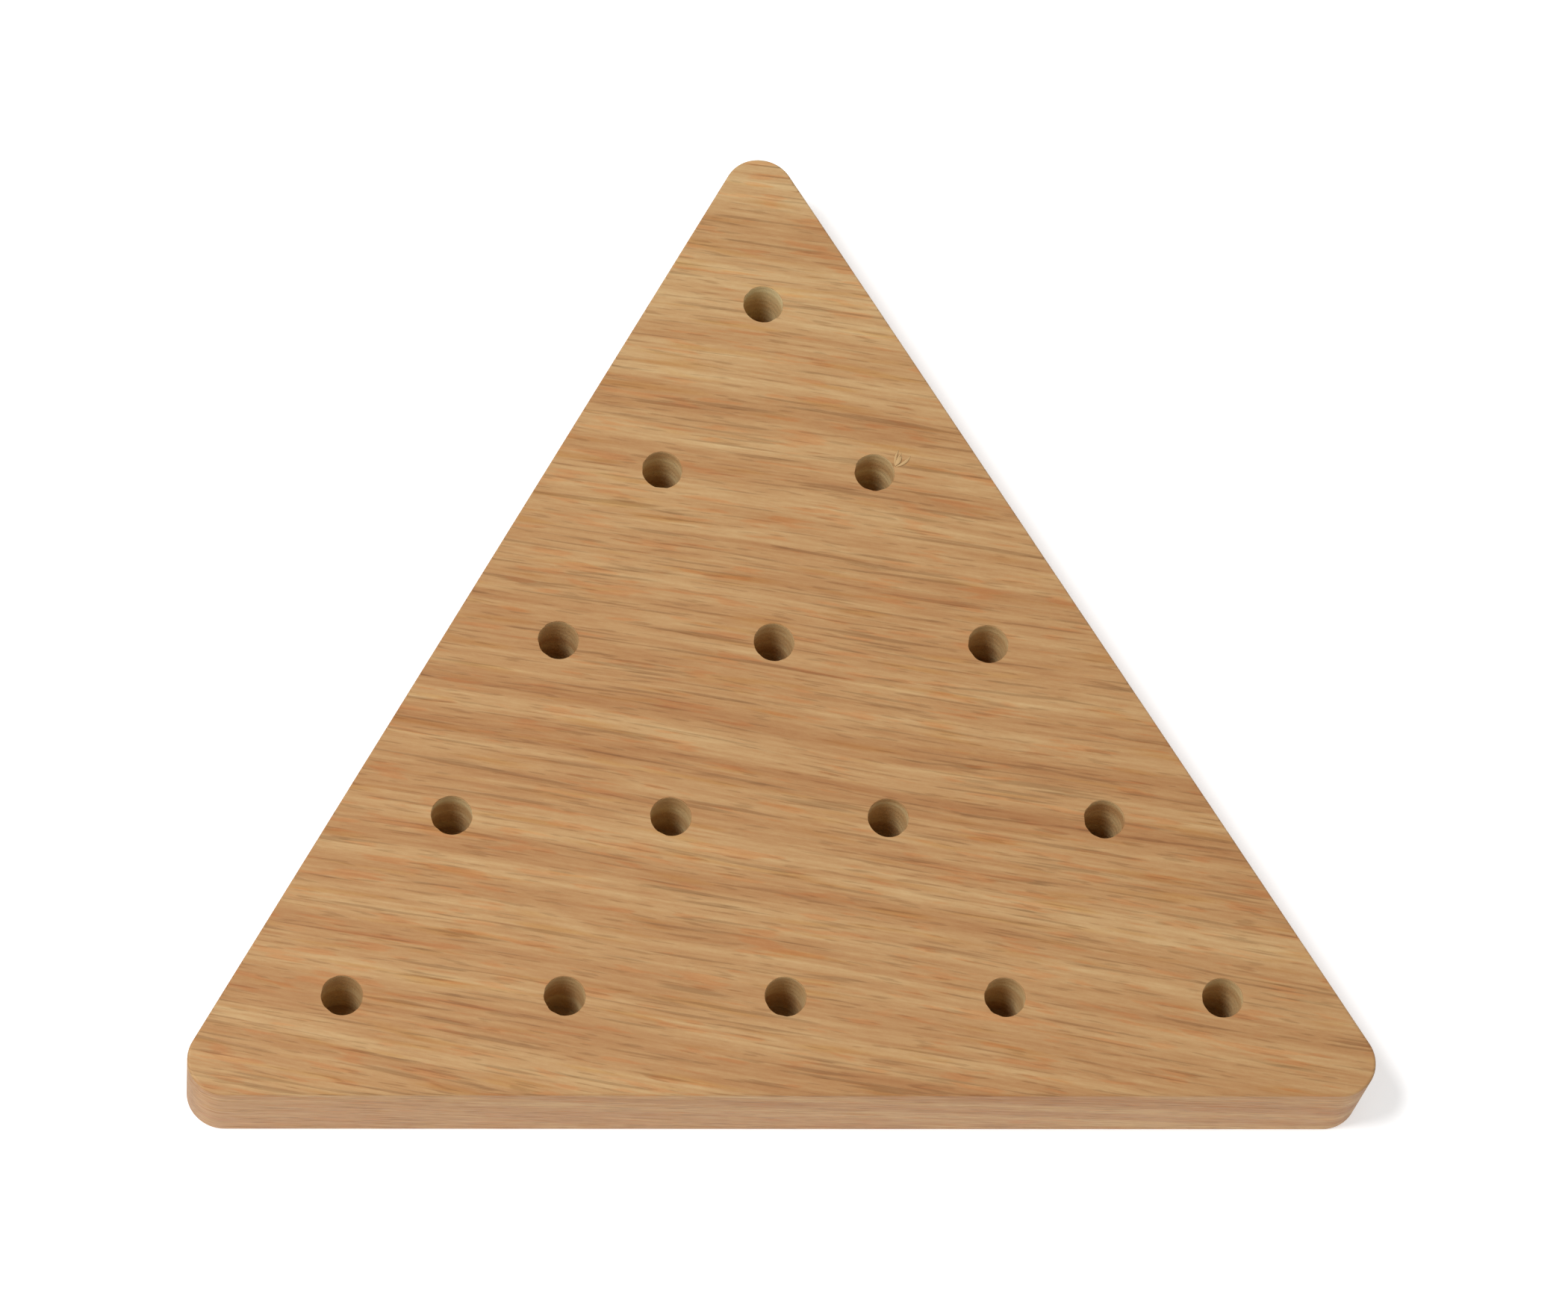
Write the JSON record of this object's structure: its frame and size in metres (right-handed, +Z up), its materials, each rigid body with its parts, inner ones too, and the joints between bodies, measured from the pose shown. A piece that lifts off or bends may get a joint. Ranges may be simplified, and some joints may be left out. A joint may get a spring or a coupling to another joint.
{
  "type": "triangle peg jump game",
  "caption": "Solid oak triangle board with rounded corners, drilled with a triangular grid of blind peg holes, and its loose plain dowel pegs.",
  "frame": {"origin": "on the board's underside, the surface it rests on, straight below the middle of the hole pattern", "axes": "+Z up, +Y towards the board's single-hole corner, +X along the front row of five holes"},
  "size_m": [0.1366, 0.181, 0.0127],
  "materials": {
    "oak_board": "sanded, matte, open grain",
    "birch_peg": "smooth, matte"
  },
  "bodies": {
    "board": {"board": "oak_board"},
    "peg_01": {"peg_01": "birch_peg"},
    "peg_02": {"peg_02": "birch_peg"},
    "peg_03": {"peg_03": "birch_peg"},
    "peg_04": {"peg_04": "birch_peg"},
    "peg_05": {"peg_05": "birch_peg"},
    "peg_06": {"peg_06": "birch_peg"},
    "peg_07": {"peg_07": "birch_peg"},
    "peg_08": {"peg_08": "birch_peg"},
    "peg_09": {"peg_09": "birch_peg"},
    "peg_10": {"peg_10": "birch_peg"},
    "peg_11": {"peg_11": "birch_peg"},
    "peg_12": {"peg_12": "birch_peg"},
    "peg_13": {"peg_13": "birch_peg"},
    "peg_14": {"peg_14": "birch_peg"}
  },
  "joints": [
    {"name": "peg_01_lift", "type": "slide", "parent": "board", "child": "peg_01", "axis": [0, 0, 1], "range_m": [0, 0.04]},
    {"name": "peg_02_lift", "type": "slide", "parent": "board", "child": "peg_02", "axis": [0, 0, 1], "range_m": [0, 0.04]},
    {"name": "peg_03_lift", "type": "slide", "parent": "board", "child": "peg_03", "axis": [0, 0, 1], "range_m": [0, 0.04]},
    {"name": "peg_04_lift", "type": "slide", "parent": "board", "child": "peg_04", "axis": [0, 0, 1], "range_m": [0, 0.04]},
    {"name": "peg_05_lift", "type": "slide", "parent": "board", "child": "peg_05", "axis": [0, 0, 1], "range_m": [0, 0.04]},
    {"name": "peg_06_lift", "type": "slide", "parent": "board", "child": "peg_06", "axis": [0, 0, 1], "range_m": [0, 0.04]},
    {"name": "peg_07_lift", "type": "slide", "parent": "board", "child": "peg_07", "axis": [0, 0, 1], "range_m": [0, 0.04]},
    {"name": "peg_08_lift", "type": "slide", "parent": "board", "child": "peg_08", "axis": [0, 0, 1], "range_m": [0, 0.04]},
    {"name": "peg_09_lift", "type": "slide", "parent": "board", "child": "peg_09", "axis": [0, 0, 1], "range_m": [0, 0.04]},
    {"name": "peg_10_lift", "type": "slide", "parent": "board", "child": "peg_10", "axis": [0, 0, 1], "range_m": [0, 0.04]},
    {"name": "peg_11_lift", "type": "slide", "parent": "board", "child": "peg_11", "axis": [0, 0, 1], "range_m": [0, 0.04]},
    {"name": "peg_12_lift", "type": "slide", "parent": "board", "child": "peg_12", "axis": [0, 0, 1], "range_m": [0, 0.04]},
    {"name": "peg_13_lift", "type": "slide", "parent": "board", "child": "peg_13", "axis": [0, 0, 1], "range_m": [0, 0.04]},
    {"name": "peg_14_lift", "type": "slide", "parent": "board", "child": "peg_14", "axis": [0, 0, 1], "range_m": [0, 0.04]}
  ]
}
